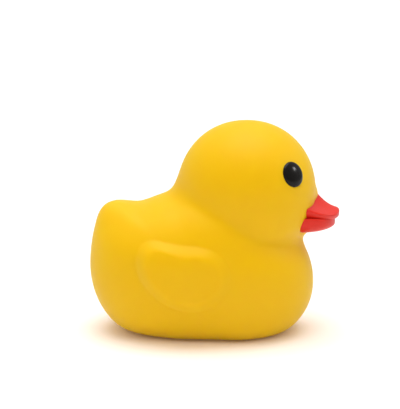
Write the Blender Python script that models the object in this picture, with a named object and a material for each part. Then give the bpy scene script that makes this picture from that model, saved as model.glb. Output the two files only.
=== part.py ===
"""Squishy duck toy: one soft foam moulding with folded wings, and a painted bill and eyes.

Metres, +Z up. The bill points along +X, the toy is symmetric about Y = 0, and it stands on the
flat of its base at Z = 0, with the origin under the middle of its length.
"""

import math

import bmesh
import bpy
import numpy as np
from mathutils import Vector

# Body, seen from the side: how far the skin lies from the body's centre
BODY_CENTRE_HEIGHT = 0.052
BREAST_REACH = 0.0769
THROAT_REACH = 0.0604
INNER_FRONT_REACH = 0.0596
NAPE_REACH = 0.0553
BACK_REACH = 0.0583
SADDLE_REACH = 0.0639
LOIN_REACH = 0.0703
UPPER_RUMP_REACH = 0.0797
RUMP_REACH = 0.0840
LOWER_RUMP_REACH = 0.0809
HEEL_REACH = 0.0672
TOE_REACH = 0.0746
LOWER_BREAST_REACH = 0.0818

# The belly bulges below the ground by this much, and the flat base cuts it off
BASE_CUT = 0.0097
BASE_ROUNDING = 0.010

# Body, seen from above
BODY_WIDTH = 0.114
BODY_SQUARENESS = 2.3

# Tail, a low rounded peak in the middle of the rump, above the body's own outline
SADDLE_LIFT = 0.0014
TAIL_TOP_LIFT = 0.0110
TAIL_LIFT = 0.0130
TAIL_REAR_LIFT = 0.0044
TAIL_BEARING = 152
TAIL_WIDTH = 0.056

# Head, and the fold where it meets the body: soft at the nape and throat, tighter on both sides
HEAD_LENGTH = 0.0997
HEAD_WIDTH = 0.1005
HEAD_HEIGHT = 0.1009
HEAD_SQUARENESS = 2.07
HEAD_FORWARD = 0.0299
HEAD_RISE = 0.0519
NECK_BLEND = 0.0223
NECK_SIDE_BLEND = 0.0080
NECK_SIDE = 0.042

# Chin, the yellow fillet under the bill, from the middle of the head
CHIN_FORWARD = 0.037
CHIN_DROP = 0.0238
CHIN_LENGTH = 0.021
CHIN_WIDTH = 0.034
CHIN_HEIGHT = 0.017
CHIN_BLEND = 0.006

# Brow, the yellow fillet over the root of the bill, from the middle of the head
BROW_FORWARD = 0.0470
BROW_DROP = 0.0025
BROW_LENGTH = 0.0080
BROW_WIDTH = 0.016
BROW_HEIGHT = 0.010
BROW_BLEND = 0.006

# Wings, soft pads that rise from the flanks: blunt behind, and fading towards the front
WING_BACK = 0.013
WING_LIFT = 0.002
WING_FRONT_REACH = 0.0320
WING_SHOULDER_REACH = 0.0270
WING_TOP_REACH = 0.0220
WING_REAR_TOP_REACH = 0.0208
WING_SLOPE_REACH = 0.0258
WING_CORNER_REACH = 0.0360
WING_TIP_REACH = 0.0370
WING_REAR_REACH = 0.0340
WING_HEEL_REACH = 0.0295
WING_BELLY_REACH = 0.0270
WING_TOE_REACH = 0.0300
WING_RISE = 0.0050
WING_EDGE = 0.0100
WING_EDGE_BIAS = 0.7
WING_FRONT_FADE = 0.55

# Bill, from the middle of the head: two soft pillows whose rims are the lips
BILL_ROOT_FORWARD = 0.0409
BILL_SQUARENESS = 2.2
UPPER_BILL_LENGTH = 0.0263
UPPER_BILL_WIDTH = 0.0535
UPPER_LIP_DROP = 0.0110
UPPER_LIP_SLOPE = 0.0051
UPPER_LIP_RISE = 0.0037
UPPER_LIP_DEPTH = 0.0160
UPPER_LIP_FRONT_DEPTH = 0.0078
CHEEK_HOLLOW = 0.85
NOSE_HOLLOW = 0.4
CROWN_SLOPE = 0.25
CROWN_ROOT_SLOPE = 0.09
CROWN_ROUNDING = 0.003
BRIDGE_RISE = 0.0069
BRIDGE_RUN = 0.0128
BRIDGE_END = 0.0233
BRIDGE_WIDTH = 0.0166
BRIDGE_HOLLOW = 1.8
LOWER_BILL_LENGTH = 0.0234
LOWER_BILL_WIDTH = 0.053
LOWER_LIP_DROP = 0.0179
LOWER_LIP_SLOPE = 0.0048
LOWER_LIP_RISE = 0.0025
LOWER_BILL_DEPTH = 0.0112
LOWER_BILL_TAPER = 0.0010
TOP_SQUARENESS = 7.0
LOWER_UNDER_SQUARENESS = 2.7
MOUTH_CURVE = 1.3

# Eyes, low domes on the head
EYE_DIAMETER = 0.0183
EYE_DOME = 0.0020
EYE_SINK = 0.0010
EYE_BEARING = 48.3
EYE_ELEVATION = 20.2

# Fineness of the mesh
SKIN_DIVISIONS = 22
BILL_SEGMENTS = 32
BILL_RINGS = 16
EYE_SEGMENTS = 24
EYE_RINGS = 12
BISECTION_STEPS = 34
FARTHEST_SKIN = 0.3
FINE_WING_MARGIN = 0.003
GROUND_TOLERANCE = 1e-6
LEAST_DIVISOR = 1e-9
RING_SPACING = 0.6

# Colours of the moulded skin and of the paint, and how rough each is
YELLOW = (0.84, 0.50, 0.004, 1.0)
RED = (0.76, 0.045, 0.030, 1.0)
BLACK = (0.010, 0.010, 0.009, 1.0)
SKIN_ROUGHNESS = 0.45
BILL_ROUGHNESS = 0.40
EYE_ROUGHNESS = 0.15

# Outlines: bearing in degrees from straight ahead, up and over the back, and the reach there
BODY_OUTLINE = (
    (0, BREAST_REACH),
    (30, THROAT_REACH),
    (70, INNER_FRONT_REACH),
    (112, NAPE_REACH),
    (127, BACK_REACH),
    (140, SADDLE_REACH),
    (151, LOIN_REACH),
    (163, UPPER_RUMP_REACH),
    (185, RUMP_REACH),
    (212, LOWER_RUMP_REACH),
    (240, HEEL_REACH),
    (275, BODY_CENTRE_HEIGHT + BASE_CUT),
    (308, TOE_REACH),
    (336, LOWER_BREAST_REACH),
)
TAIL_OUTLINE = (
    (0, 0.0),
    (90, 0.0),
    (127, 0.0),
    (140, SADDLE_LIFT),
    (146, TAIL_TOP_LIFT),
    (TAIL_BEARING, TAIL_LIFT),
    (163, TAIL_REAR_LIFT),
    (180, 0.0),
    (270, 0.0),
)
WING_OUTLINE = (
    (0, WING_FRONT_REACH),
    (35, WING_SHOULDER_REACH),
    (66, WING_TOP_REACH),
    (97, WING_REAR_TOP_REACH),
    (122, WING_SLOPE_REACH),
    (143, WING_CORNER_REACH),
    (160, WING_TIP_REACH),
    (182, WING_REAR_REACH),
    (207, WING_HEEL_REACH),
    (235, WING_BELLY_REACH),
    (265, WING_BELLY_REACH),
    (300, WING_TOE_REACH),
    (330, WING_FRONT_REACH),
)

BODY_CENTRE = np.array((0.0, 0.0, BODY_CENTRE_HEIGHT))
HEAD_CENTRE = BODY_CENTRE + (HEAD_FORWARD, 0.0, HEAD_RISE)
CHIN_CENTRE = HEAD_CENTRE + (CHIN_FORWARD, 0.0, -CHIN_DROP)
BROW_CENTRE = HEAD_CENTRE + (BROW_FORWARD, 0.0, -BROW_DROP)
WING_CENTRE = BODY_CENTRE + (-WING_BACK, 0.0, WING_LIFT)
BILL_CENTRE = HEAD_CENTRE + (BILL_ROOT_FORWARD, 0.0, 0.0)
CORE = (BODY_CENTRE + HEAD_CENTRE) / 2


def clear_scene():
    """Remove every object that the file holds."""
    for old in list(bpy.data.objects):
        bpy.data.objects.remove(old, do_unlink=True)


def paint(name, colour, roughness):
    """A plain material in one colour."""
    material = bpy.data.materials.new(name)
    material.use_nodes = True
    shader = material.node_tree.nodes["Principled BSDF"]
    shader.inputs["Base Color"].default_value = colour
    shader.inputs["Roughness"].default_value = roughness
    shader.inputs["Metallic"].default_value = 0.0
    return material


def reach_at(outline, bearing):
    """Reach of a closed smooth outline at each bearing, in radians."""
    turn = 2 * math.pi
    angles = np.radians([point[0] for point in outline])
    reaches = np.array([point[1] for point in outline])
    angles = np.concatenate((angles[-2:] - turn, angles, angles[:2] + turn))
    reaches = np.concatenate((reaches[-2:], reaches, reaches[:2]))
    slopes = np.zeros_like(reaches)
    slopes[1:-1] = (reaches[2:] - reaches[:-2]) / (angles[2:] - angles[:-2])
    bearing = np.mod(bearing, turn)
    here = np.clip(np.searchsorted(angles, bearing, "right") - 1, 1, len(angles) - 3)
    step = angles[here + 1] - angles[here]
    t = (bearing - angles[here]) / step
    start = reaches[here] * (1 + 2 * t) + slopes[here] * step * t
    end = reaches[here + 1] * (3 - 2 * t) + slopes[here + 1] * step * (t - 1)
    return start * (1 - t) ** 2 + end * t ** 2


def smooth_union(first, second, blend):
    """Join two distance fields with a soft fillet."""
    overlap = np.maximum(blend - np.abs(first - second), 0) / blend
    return np.minimum(first, second) - blend * overlap ** 3 / 6


def oval(points, centre, size, squareness=2.0):
    """Roughly the distance from points to the skin of an oval, negative inside."""
    radii = np.array(size) / 2
    offset = np.maximum(np.abs(points - centre) / radii, LEAST_DIVISOR)
    near = np.sum(offset ** squareness, axis=-1) ** (1 / squareness)
    slope = np.linalg.norm(offset ** (squareness - 1) / radii, axis=-1)
    return (near - 1) * near ** (squareness - 1) / slope


def inside_wing(x, z):
    """How far inside the wing's side outline points lie."""
    ahead = x - WING_CENTRE[0]
    above = z - WING_CENTRE[2]
    return reach_at(WING_OUTLINE, np.arctan2(above, ahead)) - np.hypot(ahead, above)


def wing_height(x, z):
    """How far the wing pad stands out from the flank, steep at its edge and fading in front."""
    slope = np.clip(inside_wing(x, z) / WING_EDGE, 0, 1) ** WING_EDGE_BIAS
    pad = slope ** 2 * (3 - 2 * slope)
    ahead = np.clip((x - WING_CENTRE[0]) / WING_FRONT_REACH, 0, 1)
    return WING_RISE * pad * (1 - WING_FRONT_FADE * ahead ** 2)


def body(points):
    """Distance field of the body: its side outline, filled out to both sides."""
    x, y, z = np.moveaxis(points, -1, 0)
    side = np.abs(np.abs(y) - wing_height(x, z)) / (BODY_WIDTH / 2)
    ahead = x - BODY_CENTRE[0]
    above = z - BODY_CENTRE[2]
    bearing = np.arctan2(above, ahead)
    tail = reach_at(TAIL_OUTLINE, bearing) * np.exp(-(2 * y / TAIL_WIDTH) ** 2)
    across = np.hypot(ahead, above) / (reach_at(BODY_OUTLINE, bearing) + tail)
    filled = (across ** BODY_SQUARENESS + side ** BODY_SQUARENESS) ** (1 / BODY_SQUARENESS)
    distance = np.linalg.norm(points - BODY_CENTRE, axis=-1)
    return (1 - 1 / np.maximum(filled, LEAST_DIVISOR)) * distance


def head(points):
    """Distance field of the head."""
    return oval(points, HEAD_CENTRE, (HEAD_LENGTH, HEAD_WIDTH, HEAD_HEIGHT), HEAD_SQUARENESS)


def neck_blend(points):
    """Size of the neck's fillet, which gets tighter away from the middle."""
    aside = np.clip(np.abs(points[..., 1]) / NECK_SIDE, 0, 1)
    return NECK_BLEND + (NECK_SIDE_BLEND - NECK_BLEND) * aside ** 2 * (3 - 2 * aside)


def skin(points):
    """Distance field of the yellow moulding, cut off at the ground."""
    chin = oval(points, CHIN_CENTRE, (CHIN_LENGTH, CHIN_WIDTH, CHIN_HEIGHT))
    brow = oval(points, BROW_CENTRE, (BROW_LENGTH, BROW_WIDTH, BROW_HEIGHT))
    form = smooth_union(body(points), head(points), neck_blend(points))
    form = smooth_union(form, chin, CHIN_BLEND)
    form = smooth_union(form, brow, BROW_BLEND)
    return -smooth_union(-form, points[..., 2], BASE_ROUNDING)


def skin_along(start, directions):
    """The points where rays from an inner point leave the moulding."""
    inside = np.zeros(len(directions))
    outside = np.full(len(directions), FARTHEST_SKIN)
    for _ in range(BISECTION_STEPS):
        middle = (inside + outside) / 2
        within = skin(start + directions * middle[:, None]) < 0
        inside = np.where(within, middle, inside)
        outside = np.where(within, outside, middle)
    return start + directions * outside[:, None]


def move_to_skin(mesh):
    """Move every vertex along its ray from the core onto the moulding."""
    rays = np.array([vertex.co for vertex in mesh.verts]) - CORE
    rays /= np.linalg.norm(rays, axis=1)[:, None]
    for vertex, place in zip(mesh.verts, skin_along(CORE, rays)):
        vertex.co = place


def needs_detail(face):
    """Whether a face lies on a wing, in the neck's fold, next to the bill or on the tail's tip."""
    middle = face.calc_center_median()
    spot = np.array(middle)
    in_fold = abs(body(spot) - head(spot)) < NECK_SIDE_BLEND / 2
    on_wing = abs(middle.y) > TAIL_WIDTH / 2 and inside_wing(middle.x, middle.z) > -FINE_WING_MARGIN
    on_chin = (middle - Vector(CHIN_CENTRE)).length < CHIN_WIDTH / 2
    on_brow = (middle - Vector(BROW_CENTRE)).length < BROW_WIDTH / 2
    tip_bearing = math.radians(TAIL_BEARING)
    tip_reach = float(reach_at(BODY_OUTLINE, tip_bearing)) + TAIL_LIFT
    tip = Vector(BODY_CENTRE) + tip_reach * Vector((math.cos(tip_bearing), 0, math.sin(tip_bearing)))
    on_tip = (middle - tip).length < TAIL_WIDTH / 2
    return in_fold or on_wing or on_chin or on_brow or on_tip


def flatten_base(mesh):
    """Make the faces on the ground one flat face."""
    for vertex in mesh.verts:
        if vertex.co.z < GROUND_TOLERANCE:
            vertex.co.z = 0.0
    on_ground = [face for face in mesh.faces if all(vertex.co.z == 0.0 for vertex in face.verts)]
    bmesh.ops.dissolve_faces(mesh, faces=on_ground, use_verts=True)


def make_object(name, mesh, material, parent):
    """Turn a mesh into a smooth object with one material, in triangles so that unions stay clean."""
    bmesh.ops.recalc_face_normals(mesh, faces=mesh.faces[:])
    bmesh.ops.triangulate(mesh, faces=mesh.faces[:])
    data = bpy.data.meshes.new(name)
    mesh.to_mesh(data)
    mesh.free()
    data.materials.append(material)
    data.shade_smooth()
    made = bpy.data.objects.new(name, data)
    made.parent = parent
    bpy.context.scene.collection.objects.link(made)
    return made


def make_skin(material, parent):
    """The yellow moulding: a cube with a fine grid, drawn onto the form."""
    mesh = bmesh.new()
    bmesh.ops.create_cube(mesh, size=2)
    bmesh.ops.subdivide_edges(mesh, edges=mesh.edges[:], cuts=SKIN_DIVISIONS - 1, use_grid_fill=True)
    for vertex in mesh.verts:
        even = Vector([math.tan(value * math.pi / 4) for value in vertex.co])
        vertex.co = even + Vector(CORE)
    move_to_skin(mesh)
    fine_faces = [face for face in mesh.faces if needs_detail(face)]
    fine_edges = list({edge for face in fine_faces for edge in face.edges})
    bmesh.ops.subdivide_edges(mesh, edges=fine_edges, cuts=1, use_grid_fill=True)
    move_to_skin(mesh)
    flatten_base(mesh)
    return make_object("duck", mesh, material, parent)


def power(value, exponent):
    """A power that keeps the sign."""
    return math.copysign(abs(value) ** exponent, value)


def fullness(share, squareness):
    """How full a pillow is: 1 at its middle, falling to 0 on its rim, where share is 1."""
    return (1 - share ** squareness) ** (1 / squareness)


def upper_bill_height(ahead, aside, share, on_top):
    """Height of the upper bill, with a crown and a bridge that runs up to the forehead."""
    along = max(ahead, 0) / UPPER_BILL_LENGTH
    edge = -UPPER_LIP_DROP - UPPER_LIP_SLOPE * along
    if on_top:
        climb = max(BRIDGE_END - max(ahead, 0), 0) / BRIDGE_RUN
        bridge = BRIDGE_RISE * climb ** BRIDGE_HOLLOW / (1 + (2 * aside / BRIDGE_WIDTH) ** 2)
        slope = CROWN_ROOT_SLOPE + (CROWN_SLOPE - CROWN_ROOT_SLOPE) * along
        crown = slope * (math.hypot(aside, CROWN_ROUNDING) - CROWN_ROUNDING)
        return edge + (UPPER_LIP_RISE - crown + bridge) * fullness(share, TOP_SQUARENESS)
    depth = UPPER_LIP_DEPTH + (UPPER_LIP_FRONT_DEPTH - UPPER_LIP_DEPTH) * along
    hollow = CHEEK_HOLLOW + (NOSE_HOLLOW - CHEEK_HOLLOW) * along
    return edge - depth * (1 - share ** 2) ** hollow


def lower_bill_height(ahead, aside, share, on_top):
    """Height of the lower bill, which gets thinner and drops towards its tip."""
    edge = -LOWER_LIP_DROP - LOWER_LIP_SLOPE * (1 - abs(2 * aside / LOWER_BILL_WIDTH) ** MOUTH_CURVE)
    if on_top:
        return edge + LOWER_LIP_RISE * fullness(share, TOP_SQUARENESS)
    along = max(ahead, 0) / LOWER_BILL_LENGTH
    bottom = -LOWER_LIP_DROP - LOWER_BILL_DEPTH + LOWER_BILL_TAPER * along
    return edge + (bottom - edge) * fullness(share, LOWER_UNDER_SQUARENESS)


def make_bill_half(name, length, width, height_at, material, parent):
    """Half of the bill: a ball pressed into a flat round pillow, its rear half inside the head."""
    mesh = bmesh.new()
    bmesh.ops.create_uvsphere(mesh, u_segments=BILL_SEGMENTS, v_segments=BILL_RINGS, radius=1)
    for vertex in mesh.verts:
        flat = max(math.hypot(vertex.co.x, vertex.co.y), LEAST_DIVISOR)
        share = min(flat ** RING_SPACING, 1.0)
        ahead = power(vertex.co.x / flat, 2 / BILL_SQUARENESS) * share * length
        aside = power(vertex.co.y / flat, 2 / BILL_SQUARENESS) * share * width / 2
        height = height_at(ahead, aside, share, vertex.co.z > 0)
        vertex.co = Vector(BILL_CENTRE) + Vector((ahead, aside, height))
    return make_object(name, mesh, material, parent)


def make_eye(name, side, material, parent):
    """A low dome that stands on the head: the cap of a flat ball, sunk a little into the skin."""
    bearing = math.radians(EYE_BEARING)
    elevation = math.radians(EYE_ELEVATION)
    outward = Vector((
        math.cos(elevation) * math.cos(bearing),
        math.cos(elevation) * math.sin(bearing) * side,
        math.sin(elevation),
    ))
    on_skin = Vector(skin_along(HEAD_CENTRE, np.array([outward]))[0])
    mesh = bmesh.new()
    bmesh.ops.create_uvsphere(mesh, u_segments=EYE_SEGMENTS, v_segments=EYE_RINGS, radius=1)
    radius = EYE_DIAMETER / 2
    bmesh.ops.scale(mesh, verts=mesh.verts[:], vec=(radius, radius, EYE_DOME + EYE_SINK))
    eye = make_object(name, mesh, material, parent)
    eye.location = on_skin - outward * EYE_SINK
    eye.rotation_euler = outward.to_track_quat("Z", "Y").to_euler()
    return eye


def fuse(whole, extra):
    """Make an extra shape part of the one moulding."""
    extra.hide_render = True
    extra.display_type = "WIRE"
    union = whole.modifiers.new("fuse_" + extra.name, "BOOLEAN")
    union.operation = "UNION"
    union.solver = "EXACT"
    union.material_mode = "TRANSFER"
    union.object = extra


def build_duck():
    """Make the toy and put the middle of its length above the origin."""
    clear_scene()
    yellow = paint("yellow_foam_skin", YELLOW, SKIN_ROUGHNESS)
    red = paint("red_paint", RED, BILL_ROUGHNESS)
    black = paint("black_paint", BLACK, EYE_ROUGHNESS)
    middle = bpy.data.objects.new("middle", None)
    bpy.context.scene.collection.objects.link(middle)
    duck = make_skin(yellow, middle)
    upper = (UPPER_BILL_LENGTH, UPPER_BILL_WIDTH, upper_bill_height)
    lower = (LOWER_BILL_LENGTH, LOWER_BILL_WIDTH, lower_bill_height)
    fuse(duck, make_bill_half("upper_bill", *upper, red, middle))
    fuse(duck, make_bill_half("lower_bill", *lower, red, middle))
    fuse(duck, make_eye("right_eye", -1, black, middle))
    fuse(duck, make_eye("left_eye", 1, black, middle))
    rear = min(vertex.co.x for vertex in duck.data.vertices)
    front = BILL_CENTRE[0] + UPPER_BILL_LENGTH
    middle.location.x = -(rear + front) / 2


build_duck()
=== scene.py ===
"""Squishy duck toy, dressed for the camera: one soft foam moulding with a painted bill and eyes.

Metres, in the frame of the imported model: the bill points along +X, the toy stands on Z = 0 and is
symmetric about Y = 0. The forms repeat the sizes of the part's source and are drawn more finely.
"""

import math

import bmesh
import bpy
import numpy as np
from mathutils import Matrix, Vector


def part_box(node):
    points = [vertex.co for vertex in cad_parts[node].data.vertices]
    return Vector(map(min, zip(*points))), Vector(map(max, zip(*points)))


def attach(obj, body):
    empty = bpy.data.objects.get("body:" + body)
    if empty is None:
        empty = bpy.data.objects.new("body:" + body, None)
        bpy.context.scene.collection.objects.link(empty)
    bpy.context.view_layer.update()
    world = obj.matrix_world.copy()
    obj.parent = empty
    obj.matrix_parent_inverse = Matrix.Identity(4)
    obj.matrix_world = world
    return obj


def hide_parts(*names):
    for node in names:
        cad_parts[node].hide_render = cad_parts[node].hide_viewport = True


# Body, seen from the side: how far the skin lies from the body's centre
BODY_CENTRE_HEIGHT = 0.052
BREAST_REACH = 0.0769
THROAT_REACH = 0.0604
INNER_FRONT_REACH = 0.0596
NAPE_REACH = 0.0553
BACK_REACH = 0.0583
SADDLE_REACH = 0.0639
LOIN_REACH = 0.0703
UPPER_RUMP_REACH = 0.0797
RUMP_REACH = 0.0840
LOWER_RUMP_REACH = 0.0809
HEEL_REACH = 0.0672
TOE_REACH = 0.0746
LOWER_BREAST_REACH = 0.0818
BASE_CUT = 0.0097
BASE_ROUNDING = 0.010

# Body, seen from above
BODY_WIDTH = 0.114
BODY_SQUARENESS = 2.3

# Tail, a low rounded peak in the middle of the rump
SADDLE_LIFT = 0.0014
TAIL_TOP_LIFT = 0.0110
TAIL_LIFT = 0.0130
TAIL_REAR_LIFT = 0.0044
TAIL_BEARING = 152
TAIL_WIDTH = 0.056

# Head, and the fold where it meets the body: soft at the nape and throat, tighter on both sides
HEAD_LENGTH = 0.0997
HEAD_WIDTH = 0.1005
HEAD_HEIGHT = 0.1009
HEAD_SQUARENESS = 2.07
HEAD_FORWARD = 0.0299
HEAD_RISE = 0.0519
NECK_BLEND = 0.0223
NECK_SIDE_BLEND = 0.0080
NECK_SIDE = 0.042

# Chin, the yellow fillet under the bill
CHIN_FORWARD = 0.037
CHIN_DROP = 0.0238
CHIN_LENGTH = 0.021
CHIN_WIDTH = 0.034
CHIN_HEIGHT = 0.017
CHIN_BLEND = 0.006

# Brow, the yellow fillet over the root of the bill, from the middle of the head
BROW_FORWARD = 0.0470
BROW_DROP = 0.0025
BROW_LENGTH = 0.0080
BROW_WIDTH = 0.016
BROW_HEIGHT = 0.010
BROW_BLEND = 0.006

# Wings, soft pads on the flanks
WING_BACK = 0.013
WING_LIFT = 0.002
WING_FRONT_REACH = 0.0320
WING_SHOULDER_REACH = 0.0270
WING_TOP_REACH = 0.0220
WING_REAR_TOP_REACH = 0.0208
WING_SLOPE_REACH = 0.0258
WING_CORNER_REACH = 0.0360
WING_TIP_REACH = 0.0370
WING_REAR_REACH = 0.0340
WING_HEEL_REACH = 0.0295
WING_BELLY_REACH = 0.0270
WING_TOE_REACH = 0.0300
WING_RISE = 0.0050
WING_EDGE = 0.0100
WING_EDGE_BIAS = 0.7
WING_FRONT_FADE = 0.55

# Bill, from the middle of the head: two soft pillows whose rims are the lips
BILL_ROOT_FORWARD = 0.0409
BILL_SQUARENESS = 2.2
UPPER_BILL_LENGTH = 0.0263
UPPER_BILL_WIDTH = 0.0535
UPPER_LIP_DROP = 0.0110
UPPER_LIP_SLOPE = 0.0051
UPPER_LIP_RISE = 0.0037
UPPER_LIP_DEPTH = 0.0160
UPPER_LIP_FRONT_DEPTH = 0.0078
CHEEK_HOLLOW = 0.85
NOSE_HOLLOW = 0.4
CROWN_SLOPE = 0.25
CROWN_ROOT_SLOPE = 0.09
CROWN_ROUNDING = 0.003
BRIDGE_RISE = 0.0069
BRIDGE_RUN = 0.0128
BRIDGE_END = 0.0233
BRIDGE_WIDTH = 0.0166
BRIDGE_HOLLOW = 1.8
LOWER_BILL_LENGTH = 0.0234
LOWER_BILL_WIDTH = 0.053
LOWER_LIP_DROP = 0.0179
LOWER_LIP_SLOPE = 0.0048
LOWER_LIP_RISE = 0.0025
LOWER_BILL_DEPTH = 0.0112
LOWER_BILL_TAPER = 0.0010
TOP_SQUARENESS = 7.0
LOWER_UNDER_SQUARENESS = 2.7
MOUTH_CURVE = 1.3

# Eyes, low domes on the head
EYE_DIAMETER = 0.0183
EYE_DOME = 0.0020
EYE_SINK = 0.0010
EYE_BEARING = 48.3
EYE_ELEVATION = 20.2

# Fineness of the mesh
SKIN_DIVISIONS = 112
BILL_SEGMENTS = 128
BILL_RINGS = 62
RING_SPACING = 0.6
EYE_SEGMENTS = 64
EYE_RINGS = 32

# Search for the skin along a ray, and the smallest numbers that count
BISECTION_STEPS = 34
FARTHEST_SKIN = 0.3
GROUND_TOLERANCE = 1e-6
LEAST_DIVISOR = 1e-9

# Colours of the moulded skin, the paint and the floor, and the floor's glow: painted warm bounce
# light in the toy's shadow
YELLOW = (0.82, 0.485, 0.0005, 1.0)
RED = (0.70, 0.018, 0.006, 1.0)
BLACK = (0.008, 0.007, 0.006, 1.0)
WHITE = (0.90, 0.90, 0.90, 1.0)
FLOOR_PAINTED_BOUNCE = (0.15, 0.065, 0.02, 1.0)

# Gloss of each surface: its roughness, the range where it varies, and how strongly it mirrors
FOAM_ROUGHNESS = 0.5
FOAM_ROUGHNESS_RANGE = (0.46, 0.54)
FOAM_SPECULAR = 0.18
BILL_ROUGHNESS = 0.42
BILL_ROUGHNESS_RANGE = (0.38, 0.46)
BILL_SPECULAR = 0.32
EYE_ROUGHNESS = 0.16
EYE_ROUGHNESS_RANGE = (0.14, 0.20)
EYE_SPECULAR = 0.15
FLOOR_ROUGHNESS = 0.9

# Foam: a trace of sheen, and the light that enters the skin and comes out again close by: its
# share, how far its red, green and blue get against each other, and the depth in metres
SHEEN = 0.05
SHEEN_ROUGHNESS = 0.3
SCATTER = 0.6
SCATTER_REACH = (1.0, 0.8, 0.3)
SCATTER_DEPTH = 0.005

# Grain and patches: the noise's scale and detail, its usual values, and the grain's relief
FOAM_GRAIN = 1400.0
FOAM_GRAIN_STRENGTH = 0.12
FOAM_PATCHES = 35.0
BILL_GRAIN = 1200.0
BILL_GRAIN_STRENGTH = 0.10
BILL_PATCHES = 90.0
EYE_PATCHES = 120.0
FINE_DETAIL = 3.0
PATCH_DETAIL = 4.0
GRAIN_DEPTH = 0.0002
NOISE_RANGE = (0.3, 0.7)

# Floor, just under the toy
FLOOR_SIZE = 14.0
FLOOR_DROP = 0.0002

# Camera, as in the photograph: a point of the toy, the pixel where it shows, and a pixel's size
CAMERA_ELEVATION = 12
CAMERA_DISTANCE = 1.0
CAMERA_TARGET = Vector((0.0004, 0.0, 0.076))
TARGET_PIXEL = (214.9, 227.4)
PHOTO_SIZE = (400, 409)
PIXEL = 0.18 / 247.5
SENSOR = 36.0

# Surroundings: their light level with the horizon and straight above, and the share of it that
# comes from the camera's side
HORIZON_LIGHT = 0.46
ZENITH_LIGHT = 0.80
FRONT_SHARE = 0.3
FRONT_RANGE = (-0.8, 0.2)

# Lamps: two broad ones, from above and from the front, and a small one for the glint of the eyes
OVERHEAD_LIGHT = 1.85
OVERHEAD_SPREAD = 50
OVERHEAD_LEAN = -3
FRONT_LIGHT = 1.12
FRONT_SPREAD = 60
FRONT_LEAN = 42
GLINT_LIGHT = 1.7
GLINT_SIZE = 0.16
GLINT_PLACE = Vector((1.12, 0.080, 0.72))
GLINT_TARGET = Vector((0.055, -0.035, 0.12))

# Outlines: bearing in degrees from straight ahead, up and over the back, and the reach or lift
BODY_OUTLINE = (
    (0, BREAST_REACH),
    (30, THROAT_REACH),
    (70, INNER_FRONT_REACH),
    (112, NAPE_REACH),
    (127, BACK_REACH),
    (140, SADDLE_REACH),
    (151, LOIN_REACH),
    (163, UPPER_RUMP_REACH),
    (185, RUMP_REACH),
    (212, LOWER_RUMP_REACH),
    (240, HEEL_REACH),
    (275, BODY_CENTRE_HEIGHT + BASE_CUT),
    (308, TOE_REACH),
    (336, LOWER_BREAST_REACH),
)
TAIL_OUTLINE = (
    (0, 0.0),
    (90, 0.0),
    (127, 0.0),
    (140, SADDLE_LIFT),
    (146, TAIL_TOP_LIFT),
    (TAIL_BEARING, TAIL_LIFT),
    (163, TAIL_REAR_LIFT),
    (180, 0.0),
    (270, 0.0),
)
WING_OUTLINE = (
    (0, WING_FRONT_REACH),
    (35, WING_SHOULDER_REACH),
    (66, WING_TOP_REACH),
    (97, WING_REAR_TOP_REACH),
    (122, WING_SLOPE_REACH),
    (143, WING_CORNER_REACH),
    (160, WING_TIP_REACH),
    (182, WING_REAR_REACH),
    (207, WING_HEEL_REACH),
    (235, WING_BELLY_REACH),
    (265, WING_BELLY_REACH),
    (300, WING_TOE_REACH),
    (330, WING_FRONT_REACH),
)

BODY_CENTRE = np.array((0.0, 0.0, BODY_CENTRE_HEIGHT))
HEAD_CENTRE = BODY_CENTRE + (HEAD_FORWARD, 0.0, HEAD_RISE)
CHIN_CENTRE = HEAD_CENTRE + (CHIN_FORWARD, 0.0, -CHIN_DROP)
BROW_CENTRE = HEAD_CENTRE + (BROW_FORWARD, 0.0, -BROW_DROP)
WING_CENTRE = BODY_CENTRE + (-WING_BACK, 0.0, WING_LIFT)
BILL_CENTRE = HEAD_CENTRE + (BILL_ROOT_FORWARD, 0.0, 0.0)
CORE = (BODY_CENTRE + HEAD_CENTRE) / 2


def reach_at(outline, bearing):
    """Reach of a closed smooth outline at each bearing, in radians."""
    turn = 2 * math.pi
    angles = np.radians([point[0] for point in outline])
    reaches = np.array([point[1] for point in outline])
    angles = np.concatenate((angles[-2:] - turn, angles, angles[:2] + turn))
    reaches = np.concatenate((reaches[-2:], reaches, reaches[:2]))
    slopes = np.zeros_like(reaches)
    slopes[1:-1] = (reaches[2:] - reaches[:-2]) / (angles[2:] - angles[:-2])
    bearing = np.mod(bearing, turn)
    here = np.clip(np.searchsorted(angles, bearing, "right") - 1, 1, len(angles) - 3)
    step = angles[here + 1] - angles[here]
    t = (bearing - angles[here]) / step
    start = reaches[here] * (1 + 2 * t) + slopes[here] * step * t
    end = reaches[here + 1] * (3 - 2 * t) + slopes[here + 1] * step * (t - 1)
    return start * (1 - t) ** 2 + end * t ** 2


def smooth_union(first, second, blend):
    """Join two distance fields with a soft fillet."""
    overlap = np.maximum(blend - np.abs(first - second), 0) / blend
    return np.minimum(first, second) - blend * overlap ** 3 / 6


def oval(points, centre, size, squareness=2.0):
    """Roughly the distance from points to the skin of an oval, negative inside."""
    radii = np.array(size) / 2
    offset = np.maximum(np.abs(points - centre) / radii, LEAST_DIVISOR)
    near = np.sum(offset ** squareness, axis=-1) ** (1 / squareness)
    slope = np.linalg.norm(offset ** (squareness - 1) / radii, axis=-1)
    return (near - 1) * near ** (squareness - 1) / slope


def inside_wing(x, z):
    """How far inside the wing's side outline points lie."""
    ahead = x - WING_CENTRE[0]
    above = z - WING_CENTRE[2]
    return reach_at(WING_OUTLINE, np.arctan2(above, ahead)) - np.hypot(ahead, above)


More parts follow.
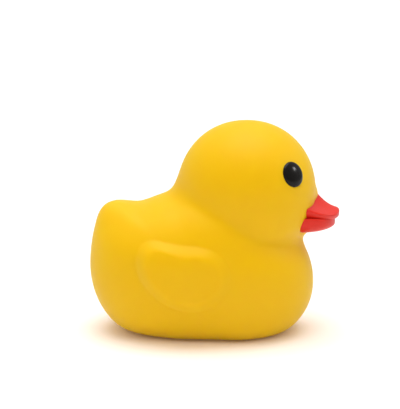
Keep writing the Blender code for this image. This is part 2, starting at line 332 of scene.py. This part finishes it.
def wing_height(x, z):
    """How far the wing pad stands out from the flank, steep at its edge and fading in front."""
    slope = np.clip(inside_wing(x, z) / WING_EDGE, 0, 1) ** WING_EDGE_BIAS
    pad = slope ** 2 * (3 - 2 * slope)
    ahead = np.clip((x - WING_CENTRE[0]) / WING_FRONT_REACH, 0, 1)
    return WING_RISE * pad * (1 - WING_FRONT_FADE * ahead ** 2)


def body(points):
    """Distance field of the body: its side outline, filled out to both sides."""
    x, y, z = np.moveaxis(points, -1, 0)
    side = np.abs(np.abs(y) - wing_height(x, z)) / (BODY_WIDTH / 2)
    ahead = x - BODY_CENTRE[0]
    above = z - BODY_CENTRE[2]
    bearing = np.arctan2(above, ahead)
    tail = reach_at(TAIL_OUTLINE, bearing) * np.exp(-(2 * y / TAIL_WIDTH) ** 2)
    across = np.hypot(ahead, above) / (reach_at(BODY_OUTLINE, bearing) + tail)
    filled = (across ** BODY_SQUARENESS + side ** BODY_SQUARENESS) ** (1 / BODY_SQUARENESS)
    distance = np.linalg.norm(points - BODY_CENTRE, axis=-1)
    return (1 - 1 / np.maximum(filled, LEAST_DIVISOR)) * distance


def neck_blend(points):
    """Size of the neck's fillet, which gets tighter away from the middle."""
    aside = np.clip(np.abs(points[..., 1]) / NECK_SIDE, 0, 1)
    return NECK_BLEND + (NECK_SIDE_BLEND - NECK_BLEND) * aside ** 2 * (3 - 2 * aside)


def skin(points):
    """Distance field of the yellow moulding, cut off at the ground."""
    head = oval(points, HEAD_CENTRE, (HEAD_LENGTH, HEAD_WIDTH, HEAD_HEIGHT), HEAD_SQUARENESS)
    chin = oval(points, CHIN_CENTRE, (CHIN_LENGTH, CHIN_WIDTH, CHIN_HEIGHT))
    brow = oval(points, BROW_CENTRE, (BROW_LENGTH, BROW_WIDTH, BROW_HEIGHT))
    form = smooth_union(body(points), head, neck_blend(points))
    form = smooth_union(form, chin, CHIN_BLEND)
    form = smooth_union(form, brow, BROW_BLEND)
    return -smooth_union(-form, points[..., 2], BASE_ROUNDING)


def skin_along(start, directions):
    """The points where rays from an inner point leave the moulding."""
    inside = np.zeros(len(directions))
    outside = np.full(len(directions), FARTHEST_SKIN)
    for _ in range(BISECTION_STEPS):
        middle = (inside + outside) / 2
        within = skin(start + directions * middle[:, None]) < 0
        inside = np.where(within, middle, inside)
        outside = np.where(within, outside, middle)
    return start + directions * outside[:, None]


def piece_from(mesh, name, material, shift):
    """Turn a mesh into a smooth object of one material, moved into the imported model's frame."""
    bmesh.ops.recalc_face_normals(mesh, faces=mesh.faces[:])
    bmesh.ops.translate(mesh, verts=mesh.verts[:], vec=shift)
    data = bpy.data.meshes.new(name)
    mesh.to_mesh(data)
    mesh.free()
    data.materials.append(material)
    data.shade_smooth()
    made = bpy.data.objects.new(name, data)
    bpy.context.scene.collection.objects.link(made)
    return made


def make_skin(material, shift):
    """The yellow moulding: a cube with a fine grid, drawn onto the form."""
    mesh = bmesh.new()
    bmesh.ops.create_cube(mesh, size=2)
    cuts = SKIN_DIVISIONS - 1
    bmesh.ops.subdivide_edges(mesh, edges=mesh.edges[:], cuts=cuts, use_grid_fill=True)
    rays = np.tan(np.array([vertex.co for vertex in mesh.verts]) * math.pi / 4)
    rays /= np.linalg.norm(rays, axis=1)[:, None]
    for vertex, place in zip(mesh.verts, skin_along(CORE, rays)):
        vertex.co = place
        if vertex.co.z < GROUND_TOLERANCE:
            vertex.co.z = 0.0
    return piece_from(mesh, "foam_skin", material, shift)


def power(value, exponent):
    """A power that keeps the sign."""
    return math.copysign(abs(value) ** exponent, value)


def fullness(share, squareness):
    """How full a pillow is: 1 at its middle, falling to 0 on its rim, where share is 1."""
    return (1 - share ** squareness) ** (1 / squareness)


def upper_bill_height(ahead, aside, share, on_top):
    """Height of the upper bill, with a crown and a bridge that runs up to the forehead."""
    along = max(ahead, 0) / UPPER_BILL_LENGTH
    edge = -UPPER_LIP_DROP - UPPER_LIP_SLOPE * along
    if on_top:
        climb = max(BRIDGE_END - max(ahead, 0), 0) / BRIDGE_RUN
        bridge = BRIDGE_RISE * climb ** BRIDGE_HOLLOW / (1 + (2 * aside / BRIDGE_WIDTH) ** 2)
        slope = CROWN_ROOT_SLOPE + (CROWN_SLOPE - CROWN_ROOT_SLOPE) * along
        crown = slope * (math.hypot(aside, CROWN_ROUNDING) - CROWN_ROUNDING)
        return edge + (UPPER_LIP_RISE - crown + bridge) * fullness(share, TOP_SQUARENESS)
    depth = UPPER_LIP_DEPTH + (UPPER_LIP_FRONT_DEPTH - UPPER_LIP_DEPTH) * along
    hollow = CHEEK_HOLLOW + (NOSE_HOLLOW - CHEEK_HOLLOW) * along
    return edge - depth * (1 - share ** 2) ** hollow


def lower_bill_height(ahead, aside, share, on_top):
    """Height of the lower bill, which gets thinner and drops towards its tip."""
    inward = 1 - abs(2 * aside / LOWER_BILL_WIDTH) ** MOUTH_CURVE
    edge = -LOWER_LIP_DROP - LOWER_LIP_SLOPE * inward
    if on_top:
        return edge + LOWER_LIP_RISE * fullness(share, TOP_SQUARENESS)
    along = max(ahead, 0) / LOWER_BILL_LENGTH
    bottom = -LOWER_LIP_DROP - LOWER_BILL_DEPTH + LOWER_BILL_TAPER * along
    return edge + (bottom - edge) * fullness(share, LOWER_UNDER_SQUARENESS)


def make_bill_half(name, length, width, height_at, material, shift):
    """Half of the bill: a ball pressed into a flat round pillow, its rear half inside the head."""
    mesh = bmesh.new()
    bmesh.ops.create_uvsphere(mesh, u_segments=BILL_SEGMENTS, v_segments=BILL_RINGS, radius=1)
    for vertex in mesh.verts:
        flat = max(math.hypot(vertex.co.x, vertex.co.y), LEAST_DIVISOR)
        share = min(flat ** RING_SPACING, 1.0)
        ahead = power(vertex.co.x / flat, 2 / BILL_SQUARENESS) * share * length
        aside = power(vertex.co.y / flat, 2 / BILL_SQUARENESS) * share * width / 2
        height = height_at(ahead, aside, share, vertex.co.z > 0)
        vertex.co = Vector(BILL_CENTRE) + Vector((ahead, aside, height))
    return piece_from(mesh, name, material, shift)


def make_bill(material, shift):
    """Both halves of the bill, joined into one piece."""
    upper = (UPPER_BILL_LENGTH, UPPER_BILL_WIDTH, upper_bill_height)
    lower = (LOWER_BILL_LENGTH, LOWER_BILL_WIDTH, lower_bill_height)
    bill = make_bill_half("bill", *upper, material, shift)
    under = make_bill_half("lower_bill", *lower, material, shift)
    union = bill.modifiers.new("join", "BOOLEAN")
    union.operation = "UNION"
    union.solver = "EXACT"
    union.object = under
    evaluated = bill.evaluated_get(bpy.context.evaluated_depsgraph_get())
    joined = bpy.data.meshes.new_from_object(evaluated)
    bill.modifiers.clear()
    bill.data = joined
    bpy.data.objects.remove(under, do_unlink=True)
    return bill


def make_eye(name, side, material, shift):
    """A low dome that stands on the head: the cap of a flat ball, sunk a little into the skin."""
    bearing = math.radians(EYE_BEARING)
    elevation = math.radians(EYE_ELEVATION)
    outward = Vector((
        math.cos(elevation) * math.cos(bearing),
        math.cos(elevation) * math.sin(bearing) * side,
        math.sin(elevation),
    ))
    on_skin = Vector(skin_along(HEAD_CENTRE, np.array([outward]))[0])
    mesh = bmesh.new()
    bmesh.ops.create_uvsphere(mesh, u_segments=EYE_SEGMENTS, v_segments=EYE_RINGS, radius=1)
    radius = EYE_DIAMETER / 2
    bmesh.ops.scale(mesh, verts=mesh.verts[:], vec=(radius, radius, EYE_DOME + EYE_SINK))
    turn = outward.to_track_quat("Z", "Y").to_matrix()
    bmesh.ops.rotate(mesh, verts=mesh.verts[:], matrix=turn)
    bmesh.ops.translate(mesh, verts=mesh.verts[:], vec=on_skin - outward * EYE_SINK)
    return piece_from(mesh, name, material, shift)


def new_material(name, colour, roughness, specular):
    """A material with its node tree, and its main shader with its even values set."""
    material = bpy.data.materials.new(name)
    material.use_nodes = True
    tree = material.node_tree
    shader = tree.nodes["Principled BSDF"]
    shader.inputs["Base Color"].default_value = colour
    shader.inputs["Roughness"].default_value = roughness
    shader.inputs["Metallic"].default_value = 0.0
    shader.inputs["Specular IOR Level"].default_value = specular
    return material, tree, shader


def add_noise(tree, scale, detail):
    """A noise texture in the object's own coordinates."""
    place = tree.nodes.new("ShaderNodeTexCoord")
    noise = tree.nodes.new("ShaderNodeTexNoise")
    noise.inputs["Scale"].default_value = scale
    noise.inputs["Detail"].default_value = detail
    tree.links.new(place.outputs["Object"], noise.inputs["Vector"])
    return noise.outputs["Fac"]


def add_grain(tree, shader, scale, strength):
    """Fine relief on the shader's normal."""
    bump = tree.nodes.new("ShaderNodeBump")
    bump.inputs["Distance"].default_value = GRAIN_DEPTH
    bump.inputs["Strength"].default_value = strength
    tree.links.new(add_noise(tree, scale, FINE_DETAIL), bump.inputs["Height"])
    tree.links.new(bump.outputs["Normal"], shader.inputs["Normal"])


def add_range(tree, value, before, after):
    """Carry a value from one range over to another."""
    spread = tree.nodes.new("ShaderNodeMapRange")
    spread.inputs["From Min"].default_value = before[0]
    spread.inputs["From Max"].default_value = before[1]
    spread.inputs["To Min"].default_value = after[0]
    spread.inputs["To Max"].default_value = after[1]
    tree.links.new(value, spread.inputs["Value"])
    return spread.outputs["Result"]


def add_patches(tree, shader, scale, detail, roughness_range):
    """Patches where the surface is slightly rougher or smoother."""
    roughness = add_range(tree, add_noise(tree, scale, detail), NOISE_RANGE, roughness_range)
    tree.links.new(roughness, shader.inputs["Roughness"])


def foam_material():
    """Matte skin of slow-rising foam: very fine grain, faint unevenness, and a soft glow in it."""
    material, tree, shader = new_material("yellow_foam_skin", YELLOW, FOAM_ROUGHNESS, FOAM_SPECULAR)
    shader.inputs["Sheen Weight"].default_value = SHEEN
    shader.inputs["Sheen Roughness"].default_value = SHEEN_ROUGHNESS
    shader.inputs["Subsurface Weight"].default_value = SCATTER
    shader.inputs["Subsurface Radius"].default_value = SCATTER_REACH
    shader.inputs["Subsurface Scale"].default_value = SCATTER_DEPTH
    add_grain(tree, shader, FOAM_GRAIN, FOAM_GRAIN_STRENGTH)
    add_patches(tree, shader, FOAM_PATCHES, PATCH_DETAIL, FOAM_ROUGHNESS_RANGE)
    return material


def bill_material():
    """Satin red paint on the foam."""
    material, tree, shader = new_material("red_paint", RED, BILL_ROUGHNESS, BILL_SPECULAR)
    add_grain(tree, shader, BILL_GRAIN, BILL_GRAIN_STRENGTH)
    add_patches(tree, shader, BILL_PATCHES, PATCH_DETAIL, BILL_ROUGHNESS_RANGE)
    return material


def eye_material():
    """Glossy black paint."""
    material, tree, shader = new_material("black_paint", BLACK, EYE_ROUGHNESS, EYE_SPECULAR)
    add_patches(tree, shader, EYE_PATCHES, FINE_DETAIL, EYE_ROUGHNESS_RANGE)
    return material


def floor_material():
    """White floor that keeps the shadow, with a faint warm glow that only the camera sees: painted
    bounce light that warms and lightens the shadow.
    """
    material, tree, shader = new_material("white_floor", WHITE, FLOOR_ROUGHNESS, 0.0)
    path = tree.nodes.new("ShaderNodeLightPath")
    # Painted light: a warm glow for camera rays alone, which shows in the shadow as warm bounce
    # light
    shader.inputs["Emission Color"].default_value = FLOOR_PAINTED_BOUNCE
    tree.links.new(path.outputs["Is Camera Ray"], shader.inputs["Emission Strength"])
    return material


def make_floor():
    """A pale floor that fills the view."""
    bpy.ops.mesh.primitive_plane_add(size=FLOOR_SIZE, location=(0.0, 0.0, -FLOOR_DROP))
    floor = bpy.context.object
    floor.name = "floor"
    floor.data.materials.append(floor_material())


def make_surroundings():
    """Surroundings that are plain white to the camera, and dimmer for the light they give."""
    world = bpy.data.worlds.new("white_studio")
    bpy.context.scene.world = world
    world.use_nodes = True
    tree = world.node_tree
    surroundings = tree.nodes["Background"]
    surroundings.inputs["Color"].default_value = (1.0, 1.0, 1.0, 1.0)
    place = tree.nodes.new("ShaderNodeTexCoord")
    parts = tree.nodes.new("ShaderNodeSeparateXYZ")
    tree.links.new(place.outputs["Generated"], parts.inputs["Vector"])
    climb = add_range(tree, parts.outputs["Z"], (0.0, 1.0), (HORIZON_LIGHT, ZENITH_LIGHT))
    share = add_range(tree, parts.outputs["Y"], FRONT_RANGE, (FRONT_SHARE, 1.0))
    around = tree.nodes.new("ShaderNodeMath")
    around.operation = "MULTIPLY"
    tree.links.new(climb, around.inputs[0])
    tree.links.new(share, around.inputs[1])
    path = tree.nodes.new("ShaderNodeLightPath")
    level = tree.nodes.new("ShaderNodeMix")
    level.data_type = "FLOAT"
    tree.links.new(path.outputs["Is Camera Ray"], level.inputs["Factor"])
    tree.links.new(around.outputs["Value"], level.inputs["A"])
    level.inputs["B"].default_value = 1.0
    tree.links.new(level.outputs["Result"], surroundings.inputs["Strength"])


def make_lamps():
    """Broad white lamps from above and in front, and a small one for the eyes' glint."""
    broad = (
        ("overhead", OVERHEAD_LIGHT, OVERHEAD_SPREAD, OVERHEAD_LEAN, True),
        ("front", FRONT_LIGHT, FRONT_SPREAD, FRONT_LEAN, False),
    )
    for name, energy, spread, lean, mirrored in broad:
        sun = bpy.data.lights.new(name, "SUN")
        sun.energy = energy
        sun.angle = math.radians(spread)
        placed = bpy.data.objects.new(name, sun)
        placed.rotation_euler = (math.radians(lean), 0.0, 0.0)
        placed.visible_glossy = mirrored
        bpy.context.scene.collection.objects.link(placed)
    lamp = bpy.data.lights.new("glint", "AREA")
    lamp.energy = GLINT_LIGHT
    lamp.size = GLINT_SIZE
    glint = bpy.data.objects.new("glint", lamp)
    glint.location = GLINT_PLACE
    glint.visible_camera = False
    glint.visible_diffuse = False
    aim = GLINT_TARGET - GLINT_PLACE
    glint.rotation_euler = aim.to_track_quat("-Z", "Y").to_euler()
    bpy.context.scene.collection.objects.link(glint)


def make_camera():
    """The photograph's view: almost square from the side, a little above."""
    elevation = math.radians(CAMERA_ELEVATION)
    up = Vector((0.0, math.sin(elevation), math.cos(elevation)))
    away = Vector((0.0, -math.cos(elevation), math.sin(elevation)))
    across = (PHOTO_SIZE[0] / 2 - TARGET_PIXEL[0]) * PIXEL
    down = (PHOTO_SIZE[1] / 2 - TARGET_PIXEL[1]) * PIXEL
    aim = CAMERA_TARGET + Vector((across, 0.0, 0.0)) - up * down
    camera = bpy.data.objects.new("camera", bpy.data.cameras.new("camera"))
    camera.location = CAMERA_TARGET + CAMERA_DISTANCE * away
    camera.rotation_euler = (aim - camera.location).to_track_quat("-Z", "Y").to_euler()
    camera.data.sensor_width = SENSOR
    camera.data.lens = SENSOR * CAMERA_DISTANCE / (PHOTO_SIZE[1] * PIXEL)
    bpy.context.scene.collection.objects.link(camera)
    bpy.context.scene.camera = camera


def dress_duck():
    """The toy's pieces, each attached to the root body, with the imported solid hidden."""
    shift = Vector((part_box("duck")[1][0] - BILL_CENTRE[0] - UPPER_BILL_LENGTH, 0.0, 0.0))
    foam = make_skin(foam_material(), shift)
    bill = make_bill(bill_material(), shift)
    black = eye_material()
    pieces = [(foam, "skin"), (bill, "bill_paint")]
    pieces.append((make_eye("right_eye", -1, black, shift), "eye_paint"))
    pieces.append((make_eye("left_eye", 1, black, shift), "eye_paint"))
    for piece, slot in pieces:
        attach(piece, "root")
        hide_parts("duck")


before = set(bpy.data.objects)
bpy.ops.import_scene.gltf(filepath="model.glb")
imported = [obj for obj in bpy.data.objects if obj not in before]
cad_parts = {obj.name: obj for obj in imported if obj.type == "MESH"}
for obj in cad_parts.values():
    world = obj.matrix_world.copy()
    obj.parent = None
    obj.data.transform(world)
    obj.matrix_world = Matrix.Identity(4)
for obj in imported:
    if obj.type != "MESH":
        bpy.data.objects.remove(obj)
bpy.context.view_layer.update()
bpy.context.scene.view_settings.view_transform = "Standard"
dress_duck()
make_floor()
make_surroundings()
make_lamps()
make_camera()
